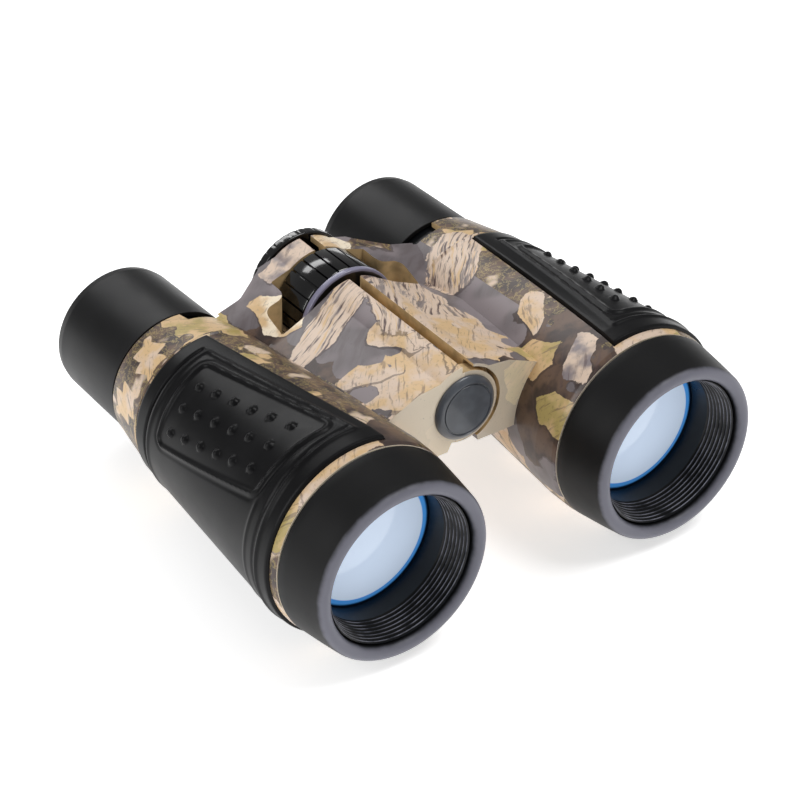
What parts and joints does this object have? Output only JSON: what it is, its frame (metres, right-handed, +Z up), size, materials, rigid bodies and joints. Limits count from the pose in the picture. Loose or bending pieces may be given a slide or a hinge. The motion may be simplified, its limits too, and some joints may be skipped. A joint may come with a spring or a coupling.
{
  "type": "binoculars",
  "caption": "Compact straight-tube binoculars with camouflage barrels, rubber grips, a centre hinge, and a focus wheel that drives the sliding eyepieces.",
  "frame": {"origin": "centre of the bottom of the bounding box: below the hinge, midway between the objective rims and the eyecup rims, on the plane that the grips touch", "axes": "+X to the right seen from the objectives, +Y back from the objectives to the eyepieces along the barrels, +Z up"},
  "size_m": [0.1002, 0.0952, 0.0401],
  "materials": {
    "camo_plastic": "satin ABS with a printed tan, grey-mauve, brown and olive leaf camouflage",
    "grip_rubber": "satin moulded rubber",
    "hood_rubber": "semi-gloss moulded rubber",
    "black_plastic": "matt black inside parts",
    "gloss_black": "gloss black with soft edges",
    "collar_grey": "purple-grey satin",
    "cap_grey": "dark grey satin",
    "coated_glass": "polished with a blue coating",
    "steel": "turned"
  },
  "bodies": {
    "left_half": {"left_barrel": "camo_plastic", "left_grip": "grip_rubber", "left_objective_hood": "hood_rubber", "left_baffle_ring": "black_plastic", "left_objective_lens": "coated_glass", "hinge_pin": "steel", "hinge_cap": "cap_grey", "friction_washer": "steel"},
    "right_half": {"right_barrel": "camo_plastic", "right_grip": "grip_rubber", "right_objective_hood": "hood_rubber", "right_baffle_ring": "black_plastic", "right_objective_lens": "coated_glass"},
    "focus_gear": {"focus_wheel": "gloss_black", "wheel_collar": "collar_grey"},
    "left_eyepiece": {"left_eyepiece_tube": "black_plastic", "left_eyecup": "hood_rubber", "left_eye_lens": "coated_glass", "left_eye_lens_ring": "black_plastic", "focus_screw": "steel", "bridge_disc": "gloss_black", "bridge_nut": "steel"},
    "right_eyepiece": {"right_eyepiece_tube": "black_plastic", "right_eyecup": "hood_rubber", "right_eye_lens": "coated_glass", "right_eye_lens_ring": "black_plastic"}
  },
  "joints": [
    {"name": "centre_hinge", "type": "hinge", "parent": "left_half", "child": "right_half", "pos_m": [0, 0, 0.02915], "axis": [0, 1, 0], "range_deg": [-12, 25]},
    {"name": "focus_turn", "type": "hinge", "parent": "left_half", "child": "focus_gear", "pos_m": [0, 0.0178, 0.02915], "axis": [0, 1, 0], "range_deg": [0, 450]},
    {"name": "left_eyepiece_slide", "type": "slide", "parent": "left_half", "child": "left_eyepiece", "axis": [0, 1, 0], "range_m": [0, 0.006]},
    {"name": "right_eyepiece_slide", "type": "slide", "parent": "right_half", "child": "right_eyepiece", "axis": [0, 1, 0], "range_m": [0, 0.006]}
  ],
  "couplings": [
    {"joint": "focus_turn", "follows": "left_eyepiece_slide", "rad_per_m": 1309},
    {"joint": "right_eyepiece_slide", "follows": "left_eyepiece_slide", "ratio": 1}
  ]
}
